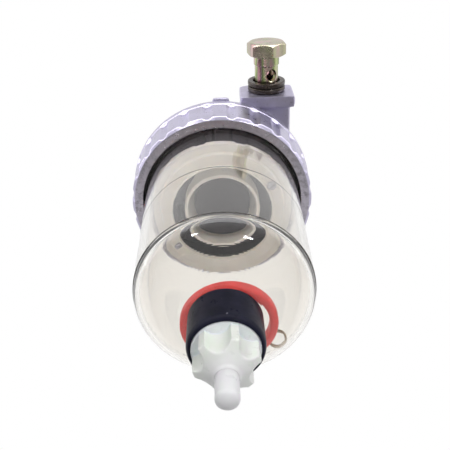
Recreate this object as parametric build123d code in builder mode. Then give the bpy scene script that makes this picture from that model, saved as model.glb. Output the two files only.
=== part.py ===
from build123d import *
from math import acos, cos, degrees, inf, radians, sin, sqrt
import os

# Fuel water separator with a clear bowl. Lengths in mm, +Z up.
# The origin is the middle of the machined mounting face on top of the head.
# The bowl hangs down the Z axis, the inlet port faces -Y and the outlet port +Y.

# Small breaks and roundings shared by several pieces
edge_break = 0.6
seal_gap = 0.02

# Levels below the mounting face
mount_to_ring = 33.0
ring_height = 25.0
bowl_length = 88.0
dome_height = 21.0

# Ring nut
ring_wall = 3.1
ring_rim_step = 0.4
ring_nose_step = 0.3
ring_face_step = 1.6
ring_bowl_gap = 1.1
ring_rim_height = 4.6
ring_chamfer = 1.7
lip_thickness = 4.2
thread_step = 4.6
thread_gap = 0.1
flute_count = 24
flute_r = 4.0
flute_depth = 1.3

# Bowl
bowl_top_r = 41.4
bowl_taper = 1.8
bowl_wall = 3.0
bowl_flange_gap = 0.6
bowl_flange_thickness = 4.0
shoulder_step = 0.35
dome_wall = 2.8
neck_r = 13.0
neck_length = 16.2
seat_margin = 0.6
neck_thread_r = 8.0
valve_seat_r = 5.5
valve_seat_length = 4.6

# Gasket under the head
gasket_thickness = 1.5
gasket_width = 4.6

# Head casting
skirt_wall = 5.9
skirt_top_gap = 0.6
head_flange_step = 1.4
head_flange_thickness = 5.0
shoulder_height = 3.0
shoulder_step_in = 6.4
ceiling_below_inlet = 4.0
hub_r = 25.0
hub_foot_r = 29.0
rib_thickness = 4.0
rib_root = 1.0
rib_root_r = 21.0
rib_turn = 37.0
mount_pad_x = 64.0
mount_pad_y = 34.0
mount_pad_corner = 9.0
mount_pad_thickness = 8.0
mount_web_inset = 4.0
mount_hole_spacing = 42.0
mount_hole_r = 4.25
mount_hole_depth = 15.0
centre_boss_r = 15.2
centre_boss_drop = 5.5
centre_boss_sink_r = 8.5
centre_boss_sink = 0.5
centre_way_r = 5.0
side_way_r = 2.0
side_way_count = 4
passage_r = 4.5
inlet_drop_y = 25.0
lug_x = 1.0
lug_width = 9.4
lug_stand = 3.1
lug_height = 2.8
lug_corner = 1.5

# Ports: the outlet stands higher and nearer the axis than the inlet
inlet_x = 26.8
inlet_face_y = 50.0
inlet_depth = 18.0
outlet_face_y = 31.0
outlet_depth = 13.2
port_pad_width = 30.0
port_pad_below = 13.0
port_pad_above = 10.0
port_pad_thickness = 6.0
port_neck_width = 24.6
port_neck_corner = 2.0
port_pad_top_corner = 4.0
port_pad_foot_corner = 0.8
port_thread_r = 7.0
port_thread_depth = 17.0

# Hollow bolts and their washers
bolt_hex = 19.0
bolt_head_height = 7.3
bolt_stand_off = 19.8
bolt_shank_r = 7.0
bolt_shank_length = 5.4
bolt_waist_r = 6.45
bolt_length = 31.0
bolt_fit = 0.06
bolt_end_chamfer = 1.0
bolt_bore_past_hole = 1.0
bolt_bore_r = 4.0
cross_hole_r = 3.1
cross_hole_chamfer = 0.5
cross_hole_down = 10.2
cross_hole_turn = 25.0
hex_turn = 15.0
hex_face_r = 9.1
hex_foot_chamfer = 0.9
hex_top_chamfer = 1.3
washer_r = 10.35
washer_bore_r = 7.5
washer_thickness = 3.0
washer_round = 0.6

# Outlet tube on the head's centre boss
tube_rim_r = 20.1
tube_bore_r = 18.3
tube_rim_drop = 12.2
tube_skirt = 14.0
tube_socket_wall = 2.2
tube_slope = 3.0
tube_socket_length = 11.0
tube_fit = 0.06
tube_ring_section = 1.2

# Baffle plate
baffle_gap = 0.6
baffle_inner_r = 26.3
baffle_step_in = 4.3
baffle_step = 2.0
baffle_drop = 15.3
baffle_lip = 1.9
baffle_lip_wall = 0.7
baffle_slope = 0.4
baffle_rim_height = 4.6
baffle_thickness = 1.8
baffle_rim_wall = 1.4
notch_count = 12
notch_width = 5.0
notch_depth = 2.0
screw_circle_r = 29.5
screw_turn = -31.0
screw_head_r = 2.3
screw_head_height = 1.6
screw_r = 1.5
screw_fit = 0.02
screw_clearance = 0.2
screw_head_round = 0.6
screw_length = 9.0
pillar_r = 2.2

# Float ring, lying tilted in the foot of the bowl
float_r = 20.25
float_bore_r = 16.65
float_height = 5.0
float_round = 1.4
float_x = 1.5
float_y = 5.65
float_tilt_x = 5.5
float_tilt_y = -1.5
float_gap = 0.3

# Small wire ring lying beside the float
wire_ring_r = 3.65
wire_r = 0.5
wire_turn_offset = 0.4
wire_ring_turn = 42.3
wire_ring_from_wall = 5.3
wire_ring_depth = 5.3
wire_ring_axis = (-0.19, -0.915, -0.357)

# Drain collar and drain cock
collar_r = 15.6
collar_fit = 0.05
collar_round = 3.2
cock_flange_r = 13.7
cock_flange_thickness = 3.0
cock_flange_gap = 0.3
cock_seal_thickness = 0.8
cock_seal_r = 12.8
cock_seal_width = 3.6
knob_lobes = 6
knob_r = 13.1
knob_valley_r = 9.0
knob_scoop_r = 5.6
knob_turn = -74.5
knob_height = 8.8
knob_cone_height = 5.4
spigot_r = 4.55
spigot_end = 156.0
stem_fit = 0.06
stem_gap = 0.8
nose_gap = 0.3
stem_slot_width = 2.6
stem_ring_section = 1.3
spigot_round = 2.6
spigot_flare = 0.9
spigot_flare_height = 1.6

# Radii worked out from the sizes above
thread_r = bowl_top_r + thread_step
ring_land_r = thread_r + ring_wall
ring_rim_r = ring_land_r + ring_rim_step
ring_nose_r = ring_land_r - ring_nose_step
ring_face_r = ring_nose_r - ring_face_step
ring_bore_r = bowl_top_r + ring_bowl_gap
bowl_shoulder_r = bowl_top_r - bowl_taper
bowl_bore_r = bowl_top_r - bowl_wall
bowl_flange_r = thread_r - bowl_flange_gap
head_flange_r = thread_r + head_flange_step
shoulder_r = head_flange_r - shoulder_step_in
lug_reach = head_flange_r + lug_stand
baffle_bore_r = bowl_bore_r - bowl_taper * baffle_drop / bowl_length
baffle_r = baffle_bore_r - baffle_gap
baffle_step_r = baffle_r - baffle_step_in

# Levels worked out from the sizes above
inlet_z = -inlet_depth
outlet_z = -outlet_depth
ring_top_z = -mount_to_ring
ring_face_z = ring_top_z - ring_height
lip_top_z = ring_face_z + lip_thickness
flange_top_z = lip_top_z + bowl_flange_thickness
skirt_end_z = flange_top_z + gasket_thickness
skirt_r = thread_r - thread_gap
cavity_r = skirt_r - skirt_wall
head_flange_z = ring_top_z + skirt_top_gap
head_flange_top_z = head_flange_z + head_flange_thickness
plate_top_z = head_flange_top_z + shoulder_height
ceiling_z = inlet_z - port_thread_r - ceiling_below_inlet
shoulder_z = ring_face_z - bowl_length
tube_rim_z = ring_face_z - tube_rim_drop
baffle_z = ring_face_z - baffle_drop
dome_inner_r = bowl_shoulder_r - bowl_wall
dome_inner_height = dome_height - dome_wall
seat_r = collar_r + seat_margin
seat_z = shoulder_z - dome_height * sqrt(1 - (seat_r / (bowl_shoulder_r - shoulder_step)) ** 2)
neck_end_z = seat_z - neck_length
valve_seat_z = seat_z - valve_seat_length
cock_flange_top_z = neck_end_z - cock_seal_thickness
cock_flange_z = cock_flange_top_z - cock_flange_thickness
knob_end_z = cock_flange_z - knob_height
cone_end_z = knob_end_z - knob_cone_height
spigot_end_z = ring_face_z - spigot_end
tube_socket_r = centre_boss_r + tube_fit
tube_socket_z = tube_rim_z + tube_skirt
boss_end_z = ring_face_z - centre_boss_drop
screw_places = PolarLocations(screw_circle_r, 2, start_angle=screw_turn)


def outline(*points):
    """A face inside the current sketch, bounded by straight lines."""
    Polygon(*points, align=None)


def port_face(side):
    """The middle of a port's pad: side 1 is the inlet, -1 the outlet."""
    if side == 1:
        return Vector(inlet_x, -inlet_face_y, inlet_z)
    return Vector(0, outlet_face_y, outlet_z)


def port_plane(side, height=0.0):
    """A plane across the port on one side, height above its pad's face."""
    origin = port_face(side) + Vector(0, -side * height, 0)
    return Plane(origin=origin, x_dir=(side, 0, 0), z_dir=(0, -side, 0))


def port_section(side):
    """The plane through a port's axis: radius across, height above the pad up."""
    return Plane(origin=port_face(side), x_dir=(side, 0, 0), z_dir=(0, 0, -1))


def port_axis(side):
    """The axis of the port on one side, pointing out of the head."""
    return Axis(port_face(side), (0, -side, 0))


def floor_height(x, y):
    """Level of the bowl's elliptical floor under a point."""
    return shoulder_z - dome_inner_height * sqrt(1 - (x ** 2 + y ** 2) / dome_inner_r ** 2)


# Ring nut: a threaded ring with a lip that carries the bowl's flange
rim_foot_z = ring_top_z - ring_rim_height
nose_z = ring_face_z + ring_chamfer
flute_centre_r = ring_land_r + flute_r - flute_depth
flute_top_z = rim_foot_z - flute_r / 2

with BuildPart() as ring_nut:
    with BuildSketch(Plane.XZ):
        outline(
            (ring_bore_r + edge_break, ring_face_z),
            (ring_face_r, ring_face_z),
            (ring_nose_r, nose_z),
            (ring_land_r, rim_foot_z - edge_break),
            (ring_rim_r, rim_foot_z),
            (ring_rim_r, ring_top_z - edge_break),
            (ring_rim_r - edge_break, ring_top_z),
            (thread_r + edge_break, ring_top_z),
            (thread_r, ring_top_z - edge_break),
            (thread_r, lip_top_z),
            (ring_bore_r, lip_top_z),
            (ring_bore_r, ring_face_z + edge_break),
        )
    revolve(axis=Axis.Z)
    with BuildSketch(Plane.XY.offset(ring_face_z)):
        with PolarLocations(flute_centre_r, flute_count, start_angle=180 / flute_count):
            Circle(flute_r)
    extrude(amount=flute_top_z - ring_face_z, mode=Mode.SUBTRACT)
    with Locations((0, 0, flute_top_z)):
        with PolarLocations(flute_centre_r, flute_count, start_angle=180 / flute_count):
            Sphere(flute_r, mode=Mode.SUBTRACT)
ring_nut.part.label = "ring_nut"


# Head casting: threaded skirt, cover plate, hub, two port towers, mounting pad
pad_height = port_pad_below + port_pad_above
mount_web_x = mount_pad_x - 2 * mount_web_inset
mount_web_y = mount_pad_y - 2 * mount_web_inset
pad_middle = (port_pad_above - port_pad_below) / 2
tube_ring_z = tube_socket_z + tube_socket_length / 2
tube_groove_r = tube_socket_r - tube_ring_section - 2 * seal_gap
tube_groove_width = 1.5 * tube_ring_section
side_way_z = (boss_end_z + tube_socket_z) / 2
way_floor_z = side_way_z - side_way_r / 2

with BuildPart() as head_casting:
    with BuildSketch(Plane.XZ):
        outline(
            (0, ceiling_z),
            (cavity_r, ceiling_z),
            (cavity_r, skirt_end_z),
            (skirt_r - edge_break, skirt_end_z),
            (skirt_r, skirt_end_z + edge_break),
            (skirt_r, head_flange_z),
            (head_flange_r, head_flange_z),
            (head_flange_r, head_flange_top_z - edge_break),
            (head_flange_r - edge_break, head_flange_top_z),
            (shoulder_r, plate_top_z),
            (hub_foot_r, plate_top_z),
            (hub_r, -mount_pad_thickness),
            (0, -mount_pad_thickness),
        )
    revolve(axis=Axis.Z)
    for side in (1, -1):
        with BuildSketch(port_plane(side, -port_pad_thickness)):
            with Locations((0, pad_middle)):
                RectangleRounded(port_neck_width, pad_height - 2 * edge_break, port_neck_corner)
        extrude(amount=port_pad_thickness - abs(port_face(side).Y))
        with BuildSketch(port_plane(side)) as pad_face:
            with Locations((0, pad_middle)):
                Rectangle(port_pad_width, pad_height)
            fillet(pad_face.vertices().group_by(Axis.Y)[-1], port_pad_top_corner)
            fillet(pad_face.vertices().group_by(Axis.Y)[0], port_pad_foot_corner)
        extrude(amount=-port_pad_thickness)
    with BuildSketch(Plane.XY):
        RectangleRounded(mount_pad_x, mount_pad_y, mount_pad_corner)
    extrude(amount=-mount_pad_thickness)
    with BuildSketch(Plane.XY.offset(-mount_pad_thickness)):
        RectangleRounded(mount_web_x, mount_web_y, mount_pad_corner - mount_web_inset)
    extrude(amount=plate_top_z + mount_pad_thickness)
    for turn in (rib_turn, 180 + rib_turn, -rib_turn, 180 - rib_turn):
        with BuildSketch(Plane.XZ.rotated((0, 0, turn))):
            outline(
                (rib_root_r, plate_top_z - rib_root),
                (shoulder_r, plate_top_z - rib_root),
                (shoulder_r, plate_top_z),
                (hub_r, -mount_pad_thickness - rib_root),
                (rib_root_r, -mount_pad_thickness - rib_root),
            )
        extrude(amount=rib_thickness / 2, both=True)
    with BuildSketch(Plane.XY.offset(head_flange_z)):
        with Locations((lug_x, -lug_reach / 2)):
            RectangleRounded(lug_width, lug_reach, lug_corner)
    extrude(amount=lug_height)
    with BuildSketch(Plane.XY.offset(ceiling_z)):
        Circle(centre_boss_r)
    extrude(amount=boss_end_z - ceiling_z)
    with BuildSketch(Plane.XY.offset(ceiling_z)):
        with screw_places:
            Circle(pillar_r)
    extrude(amount=baffle_z + baffle_thickness - ceiling_z)
    # Port threads and the passages behind them
    for side, depth in ((1, inlet_face_y - inlet_drop_y + passage_r), (-1, outlet_face_y + centre_way_r)):
        with BuildSketch(port_plane(side)):
            Circle(port_thread_r)
        extrude(amount=-port_thread_depth, mode=Mode.SUBTRACT)
        with BuildSketch(port_plane(side)):
            Circle(passage_r)
        extrude(amount=-depth, mode=Mode.SUBTRACT)
    with BuildSketch(Plane.XY.offset(inlet_z)):
        with Locations((inlet_x, -inlet_drop_y)):
            Circle(passage_r)
    extrude(amount=ceiling_z - inlet_z, mode=Mode.SUBTRACT)
    # The way out: side holes under the tube's socket, up the boss to the outlet
    with BuildSketch(Plane.XY.offset(way_floor_z)):
        Circle(centre_way_r)
    extrude(amount=outlet_z - way_floor_z, mode=Mode.SUBTRACT)
    for hole in range(side_way_count):
        turn = radians(360 * (hole + 0.5) / side_way_count)
        way_out = Plane(origin=(0, 0, side_way_z), z_dir=(cos(turn), sin(turn), 0))
        with BuildSketch(way_out.offset(centre_way_r / 2)):
            Circle(side_way_r)
        extrude(amount=centre_boss_r, mode=Mode.SUBTRACT)
    with BuildSketch(Plane.XY.offset(boss_end_z)):
        Circle(centre_boss_sink_r)
    extrude(amount=centre_boss_sink, mode=Mode.SUBTRACT)
    # Groove for the tube's seal, screw holes, mounting holes
    with BuildSketch(Plane.XY.offset(tube_ring_z - tube_groove_width / 2)):
        Circle(centre_boss_r)
        Circle(tube_groove_r, mode=Mode.SUBTRACT)
    extrude(amount=tube_groove_width, mode=Mode.SUBTRACT)
    with BuildSketch(Plane.XY.offset(baffle_z + baffle_thickness)):
        with screw_places:
            Circle(screw_r)
    extrude(amount=screw_length, mode=Mode.SUBTRACT)
    with BuildSketch(Plane.XY):
        with Locations((-mount_hole_spacing / 2, 0), (mount_hole_spacing / 2, 0)):
            Circle(mount_hole_r)
    extrude(amount=-mount_hole_depth, mode=Mode.SUBTRACT)
head_casting.part.label = "head_casting"


# Gasket between the head's skirt and the bowl's flange
with BuildPart() as bowl_gasket:
    with BuildSketch(Plane.XY.offset(flange_top_z)):
        Circle(bowl_flange_r)
        Circle(bowl_flange_r - gasket_width, mode=Mode.SUBTRACT)
    extrude(amount=gasket_thickness)
bowl_gasket.part.label = "bowl_gasket"


# Clear bowl: flange, tapered wall, elliptical foot, threaded neck
dome_r = bowl_shoulder_r - shoulder_step
seat_turn = degrees(acos(seat_r / dome_r))
mouth_turn = degrees(acos(valve_seat_r / dome_inner_r))

with BuildPart() as bowl:
    with BuildSketch(Plane.XZ):
        with BuildLine():
            foot = EllipticalCenterArc((0, shoulder_z), dome_r, dome_height, arc_size=-seat_turn)
            Polyline(
                foot @ 1,
                (neck_r, seat_z),
                (neck_r, neck_end_z),
                (neck_thread_r, neck_end_z),
                (neck_thread_r, valve_seat_z),
                (valve_seat_r, valve_seat_z),
                (valve_seat_r, floor_height(valve_seat_r, 0)),
            )
            floor = EllipticalCenterArc(
                (0, shoulder_z),
                dome_inner_r,
                dome_inner_height,
                start_angle=-mouth_turn,
                arc_size=mouth_turn,
            )
            Polyline(
                floor @ 1,
                (bowl_bore_r, ring_face_z),
                (bowl_bore_r, flange_top_z),
                (bowl_flange_r, flange_top_z),
                (bowl_flange_r, lip_top_z),
                (bowl_top_r, lip_top_z),
                (bowl_top_r, ring_face_z),
                (bowl_shoulder_r, shoulder_z),
                foot @ 0,
            )
        make_face()
    revolve(axis=Axis.Z)
bowl.part.label = "bowl"


# Outlet tube: a bell that hangs from a socket on the head's centre boss
tube_neck_r = tube_socket_r + tube_socket_wall
tube_top_z = tube_socket_z + tube_socket_length

with BuildPart() as outlet_tube:
    with BuildSketch(Plane.XZ):
        outline(
            (tube_bore_r, tube_rim_z),
            (tube_rim_r, tube_rim_z),
            (tube_rim_r, tube_socket_z - tube_slope / 2),
            (tube_neck_r, tube_socket_z + tube_slope),
            (tube_neck_r, tube_top_z),
            (tube_socket_r + edge_break, tube_top_z),
            (tube_socket_r, tube_top_z - edge_break),
            (tube_socket_r, tube_socket_z),
            (tube_bore_r, tube_socket_z - tube_slope),
        )
    revolve(axis=Axis.Z)
outlet_tube.part.label = "outlet_tube"


# Seal ring between the boss and the tube's socket
with BuildPart() as tube_seal:
    with Locations((0, 0, tube_ring_z)):
        Torus(tube_socket_r - seal_gap - tube_ring_section / 2, tube_ring_section / 2)
tube_seal.part.label = "tube_seal"


# Baffle plate: a stepped ring with an upright rim, notched along its top edge
step_z = baffle_z + baffle_step
rim_top_z = step_z + baffle_rim_height
step_inner_r = baffle_step_r - baffle_step / 2

with BuildPart() as baffle_plate:
    with BuildSketch(Plane.XZ):
        outline(
            (baffle_inner_r, baffle_z - baffle_lip),
            (baffle_inner_r + baffle_lip_wall, baffle_z - baffle_lip),
            (baffle_inner_r + baffle_lip_wall, baffle_z),
            (baffle_step_r - baffle_slope, baffle_z),
            (baffle_step_r, step_z),
            (baffle_r - baffle_slope, step_z),
            (baffle_r, step_z + baffle_slope),
            (baffle_r, rim_top_z),
            (baffle_r - baffle_rim_wall, rim_top_z),
            (baffle_r - baffle_rim_wall, step_z + baffle_thickness),
            (step_inner_r, step_z + baffle_thickness),
            (step_inner_r - baffle_slope, baffle_z + baffle_thickness),
            (baffle_inner_r, baffle_z + baffle_thickness),
        )
    revolve(axis=Axis.Z)
    with BuildSketch(Plane.XY.offset(rim_top_z)):
        with PolarLocations(baffle_r, notch_count, start_angle=180 / notch_count):
            Rectangle(4 * baffle_rim_wall, notch_width)
    extrude(amount=-notch_depth, mode=Mode.SUBTRACT)
    with BuildSketch(Plane.XY.offset(baffle_z)):
        with screw_places:
            Circle(screw_r + screw_clearance)
    extrude(amount=baffle_thickness, mode=Mode.SUBTRACT)
baffle_plate.part.label = "baffle_plate"


# The two screws that hold the plate to the head's pillars
with BuildPart() as plate_screws:
    with BuildSketch(Plane.XY.offset(baffle_z)):
        with screw_places:
            Circle(screw_head_r)
    heads = extrude(amount=-screw_head_height)
    fillet(heads.edges().group_by(Axis.Z)[0], screw_head_round)
    with BuildSketch(Plane.XY.offset(baffle_z)):
        with screw_places:
            Circle(screw_r - screw_fit)
    extrude(amount=screw_length)
plate_screws.part.label = "plate_screws"


# Float ring, lying tilted to one side in the bowl's foot. The middle of its
# rounded lower edge is as low as the floor allows at every turn
float_plane = Plane(origin=(float_x, float_y, 0)).rotated((float_tilt_x, float_tilt_y, 0))
edge_in = float_round * (1 - sqrt(0.5))
edge_r = float_r - edge_in
float_z = -inf
for turn in range(360):
    edge = float_plane.from_local_coords((edge_r * cos(radians(turn)), edge_r * sin(radians(turn)), edge_in))
    float_z = max(float_z, floor_height(edge.X, edge.Y) - edge.Z + float_gap)
float_plane.origin = (float_x, float_y, float_z)

with BuildPart() as float_ring:
    with BuildSketch(float_plane):
        Circle(float_r)
        Circle(float_bore_r, mode=Mode.SUBTRACT)
    extrude(amount=float_height)
    fillet(float_ring.edges().filter_by(GeomType.CIRCLE), float_round)
float_ring.part.label = "float_ring"


# Small wire ring of two closed turns, leaning on the bowl's wall
wall_r = dome_inner_r * sqrt(1 - (wire_ring_depth / dome_inner_height) ** 2)
wire_ring_out = wall_r - wire_ring_from_wall
wire_ring_x = wire_ring_out * cos(radians(wire_ring_turn))
wire_ring_y = wire_ring_out * sin(radians(wire_ring_turn))
wire_ring_centre = (wire_ring_x, wire_ring_y, shoulder_z - wire_ring_depth)
ring_lean = Plane(origin=wire_ring_centre, z_dir=wire_ring_axis)

with BuildPart() as wire_ring:
    with Locations(ring_lean.offset(-wire_turn_offset), ring_lean.offset(wire_turn_offset)):
        Torus(wire_ring_r, wire_r)
wire_ring.part.label = "wire_ring"


# Drain collar: a sleeve over the neck, its lower rim rolled in round the cock
collar_end_z = cock_flange_z
collar_bore_r = neck_r + collar_fit
collar_sink_r = cock_flange_r + cock_flange_gap

with BuildPart() as drain_collar:
    with BuildSketch(Plane.XZ):
        with BuildLine():
            rolled = EllipticalCenterArc(
                (collar_sink_r, collar_end_z + collar_round),
                collar_r - collar_sink_r,
                collar_round,
                start_angle=-90,
                arc_size=90,
            )
            Polyline(
                rolled @ 1,
                (collar_r, seat_z - edge_break),
                (collar_r - edge_break, seat_z),
                (collar_bore_r, seat_z),
                (collar_bore_r, neck_end_z),
                (collar_sink_r, neck_end_z),
                rolled @ 0,
            )
        make_face()
    revolve(axis=Axis.Z)
drain_collar.part.label = "drain_collar"


# Flat seal between the neck's end and the cock's flange
with BuildPart() as cock_seal:
    with BuildSketch(Plane.XY.offset(cock_flange_top_z)):
        Circle(cock_seal_r)
        Circle(cock_seal_r - cock_seal_width, mode=Mode.SUBTRACT)
    extrude(amount=cock_seal_thickness)
cock_seal.part.label = "cock_seal"


# Drain cock: flange, six-lobed knob that cones down to a closed spigot, and
# a threaded stem whose nose carries the seal ring
stem_r = neck_thread_r - stem_fit
nose_r = valve_seat_r - nose_gap
stem_top_z = valve_seat_z - stem_gap
nose_top_z = seat_z - nose_gap
nose_groove_z = (nose_top_z + valve_seat_z) / 2
nose_groove_r = valve_seat_r - stem_ring_section - 2 * seal_gap
nose_groove_half = 0.75 * stem_ring_section
scoop_centre_r = knob_valley_r + knob_scoop_r

with BuildPart() as drain_cock:
    with BuildSketch(Plane.XY.offset(cock_flange_z)):
        Circle(knob_r)
        with PolarLocations(scoop_centre_r, knob_lobes, start_angle=knob_turn + 180 / knob_lobes):
            Circle(knob_scoop_r, mode=Mode.SUBTRACT)
    extrude(amount=spigot_end_z - cock_flange_z)
    with BuildSketch(Plane.XZ):
        with BuildLine():
            dome_end = EllipticalCenterArc(
                (0, spigot_end_z + spigot_round), spigot_r, spigot_round, start_angle=-90, arc_size=90
            )
            Polyline(
                dome_end @ 1,
                (spigot_r, cone_end_z - spigot_flare_height),
                (spigot_r + spigot_flare, cone_end_z),
                (knob_r - edge_break, knob_end_z - edge_break),
                (knob_r, knob_end_z),
                (knob_r, cock_flange_z),
                (0, cock_flange_z),
                dome_end @ 0,
            )
        make_face()
    revolve(axis=Axis.Z, mode=Mode.INTERSECT)
    with BuildSketch(Plane.XZ):
        outline(
            (0, cock_flange_z),
            (cock_flange_r, cock_flange_z),
            (cock_flange_r, cock_flange_top_z),
            (stem_r, cock_flange_top_z),
            (stem_r, stem_top_z - edge_break),
            (stem_r - edge_break, stem_top_z),
            (nose_r, stem_top_z),
            (nose_r, nose_groove_z - nose_groove_half),
            (nose_groove_r, nose_groove_z - nose_groove_half),
            (nose_groove_r, nose_groove_z + nose_groove_half),
            (nose_r, nose_groove_z + nose_groove_half),
            (nose_r, nose_top_z - edge_break),
            (nose_r - edge_break, nose_top_z),
            (0, nose_top_z),
        )
    revolve(axis=Axis.Z)
    with BuildSketch(Plane.XY.offset(cock_flange_top_z)):
        with Locations((0, stem_r)):
            Rectangle(stem_slot_width, 2 * stem_slot_width)
    extrude(amount=stem_top_z - cock_flange_top_z, mode=Mode.SUBTRACT)
drain_cock.part.label = "drain_cock"


# Seal ring round the stem's nose
with BuildPart() as stem_seal:
    with Locations((0, 0, nose_groove_z)):
        Torus(valve_seat_r - seal_gap - stem_ring_section / 2, stem_ring_section / 2)
stem_seal.part.label = "stem_seal"


# Hollow bolts: hex head, plain shank, waist, thread, bore and cross hole
def make_bolt(side):
    """The hollow bolt of the port on one side."""
    head_top = bolt_stand_off + bolt_head_height
    corner_r = bolt_hex / sqrt(3)
    thread_limit_r = port_thread_r - bolt_fit
    thread_end = bolt_stand_off - bolt_length
    with BuildPart() as bolt:
        with BuildSketch(port_plane(side, bolt_stand_off)):
            RegularPolygon(bolt_hex / 2, 6, major_radius=False, rotation=hex_turn)
        extrude(amount=bolt_head_height)
        with BuildSketch(port_section(side)):
            outline(
                (0, bolt_stand_off),
                (hex_face_r, bolt_stand_off),
                (corner_r, bolt_stand_off + hex_foot_chamfer),
                (corner_r, head_top - hex_top_chamfer),
                (hex_face_r, head_top),
                (0, head_top),
            )
        revolve(axis=port_axis(side), mode=Mode.INTERSECT)
        with BuildSketch(port_section(side)):
            outline(
                (0, bolt_stand_off),
                (bolt_shank_r, bolt_stand_off),
                (bolt_shank_r, bolt_stand_off - bolt_shank_length + edge_break),
                (bolt_waist_r, bolt_stand_off - bolt_shank_length),
                (bolt_waist_r, 0),
                (thread_limit_r, -edge_break),
                (thread_limit_r, thread_end + bolt_end_chamfer),
                (thread_limit_r - bolt_end_chamfer, thread_end),
                (0, thread_end),
            )
        revolve(axis=port_axis(side))
        with BuildSketch(port_plane(side, thread_end)):
            Circle(bolt_bore_r)
        extrude(amount=bolt_length - cross_hole_down + bolt_bore_past_hole, mode=Mode.SUBTRACT)
        turn = radians(cross_hole_turn)
        centre = port_plane(side, bolt_stand_off - cross_hole_down).origin
        for end in (1, -1):
            way_out = (end * side * sin(turn), 0, -end * cos(turn))
            hole = Plane(origin=centre, z_dir=way_out)
            with BuildSketch(hole):
                Circle(cross_hole_r)
            extrude(amount=2 * bolt_waist_r, mode=Mode.SUBTRACT)
            with BuildSketch(hole.offset(bolt_waist_r)):
                Circle(cross_hole_r + cross_hole_chamfer)
            extrude(amount=-2 * cross_hole_chamfer, taper=45, mode=Mode.SUBTRACT)
    return bolt.part


def make_washer(side, place):
    """A rounded sealing washer, lying at its place in the stack on the pad."""
    foot = place * washer_thickness
    with BuildPart() as washer:
        with BuildSketch(port_plane(side, foot)):
            Circle(washer_r)
            Circle(washer_bore_r, mode=Mode.SUBTRACT)
        extrude(amount=washer_thickness)
        fillet(washer.edges().filter_by(GeomType.CIRCLE), washer_round)
    return washer.part


os.makedirs("parts", exist_ok=True)
for side, port in ((1, "inlet"), (-1, "outlet")):
    bolt = make_bolt(side)
    bolt.label = port + "_bolt"
    export_step(bolt, "parts/" + bolt.label + ".step")
    for place, name in enumerate(("_inner_washer", "_outer_washer")):
        washer = make_washer(side, place)
        washer.label = port + name
        export_step(washer, "parts/" + washer.label + ".step")

for piece in (
    ring_nut,
    head_casting,
    bowl_gasket,
    bowl,
    outlet_tube,
    tube_seal,
    baffle_plate,
    plate_screws,
    float_ring,
    wire_ring,
    drain_collar,
    cock_seal,
    drain_cock,
    stem_seal,
):
    export_step(piece.part, "parts/" + piece.part.label + ".step")
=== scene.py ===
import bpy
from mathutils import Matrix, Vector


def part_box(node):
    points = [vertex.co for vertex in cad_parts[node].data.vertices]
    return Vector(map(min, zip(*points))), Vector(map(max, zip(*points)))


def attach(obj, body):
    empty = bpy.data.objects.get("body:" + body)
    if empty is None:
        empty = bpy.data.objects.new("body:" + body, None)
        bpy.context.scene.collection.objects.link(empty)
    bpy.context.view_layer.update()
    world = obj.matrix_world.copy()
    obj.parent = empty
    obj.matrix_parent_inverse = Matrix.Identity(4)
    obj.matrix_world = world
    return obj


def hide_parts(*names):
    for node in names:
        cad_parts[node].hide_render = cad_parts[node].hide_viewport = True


bl_info = {
    "name": "Fuel water separator",
    "version": (1, 0, 0),
    "blender": (4, 5, 0),
    "location": "View3D > Sidebar > Separator",
    "description": "Builds the shown pieces of a fuel water separator over its packed solids",
    "category": "Object",
}

from math import acos, cos, degrees, radians, sin, sqrt, tau

import bmesh
import bpy
from bpy.props import FloatProperty, FloatVectorProperty, IntProperty, PointerProperty
from mathutils import Matrix, Vector

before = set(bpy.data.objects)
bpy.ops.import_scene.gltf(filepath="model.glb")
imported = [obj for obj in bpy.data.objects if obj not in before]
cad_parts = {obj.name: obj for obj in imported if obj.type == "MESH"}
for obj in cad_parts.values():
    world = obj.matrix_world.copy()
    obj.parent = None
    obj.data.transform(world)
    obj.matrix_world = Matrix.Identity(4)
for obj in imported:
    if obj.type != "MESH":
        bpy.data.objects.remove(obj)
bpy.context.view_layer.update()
MM = 0.001
WHITE = (1.0, 1.0, 1.0)


def middle(node):
    """The middle of a solid's box, in mm."""
    low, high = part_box(node)
    return (Vector(low) + Vector(high)) / (2 * MM)


def level(node, end):
    """The lowest (0) or highest (1) level of a solid, in mm."""
    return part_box(node)[end][2] / MM


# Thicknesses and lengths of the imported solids, in mm
LIP_THICKNESS = 4.2
WALL_LENGTH = 88.0
BAFFLE_BEAD = 1.9
WASHER_THICKNESS = 3.0
HEX_FLATS = 19.0
BOLT_FOOT = 19.8
BOLT_TOP = 27.1
BOLT_END = -11.2

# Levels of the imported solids, in mm
RING_FACE_Z = level("ring_nut", 0)
RING_TOP_Z = level("ring_nut", 1)
LIP_TOP_Z = RING_FACE_Z + LIP_THICKNESS
FLANGE_TOP_Z = level("bowl", 1)
SKIRT_END_Z = level("bowl_gasket", 1)
SEAT_Z = level("drain_collar", 1)
COLLAR_END_Z = level("drain_collar", 0)
NECK_END_Z = level("bowl", 0)
SPIGOT_END_Z = level("drain_cock", 0)
SHOULDER_Z = RING_FACE_Z - WALL_LENGTH
BAFFLE_Z = level("baffle_plate", 0) + BAFFLE_BEAD
TUBE_RIM_Z = level("outlet_tube", 0)
TUBE_TOP_Z = level("outlet_tube", 1)

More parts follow.
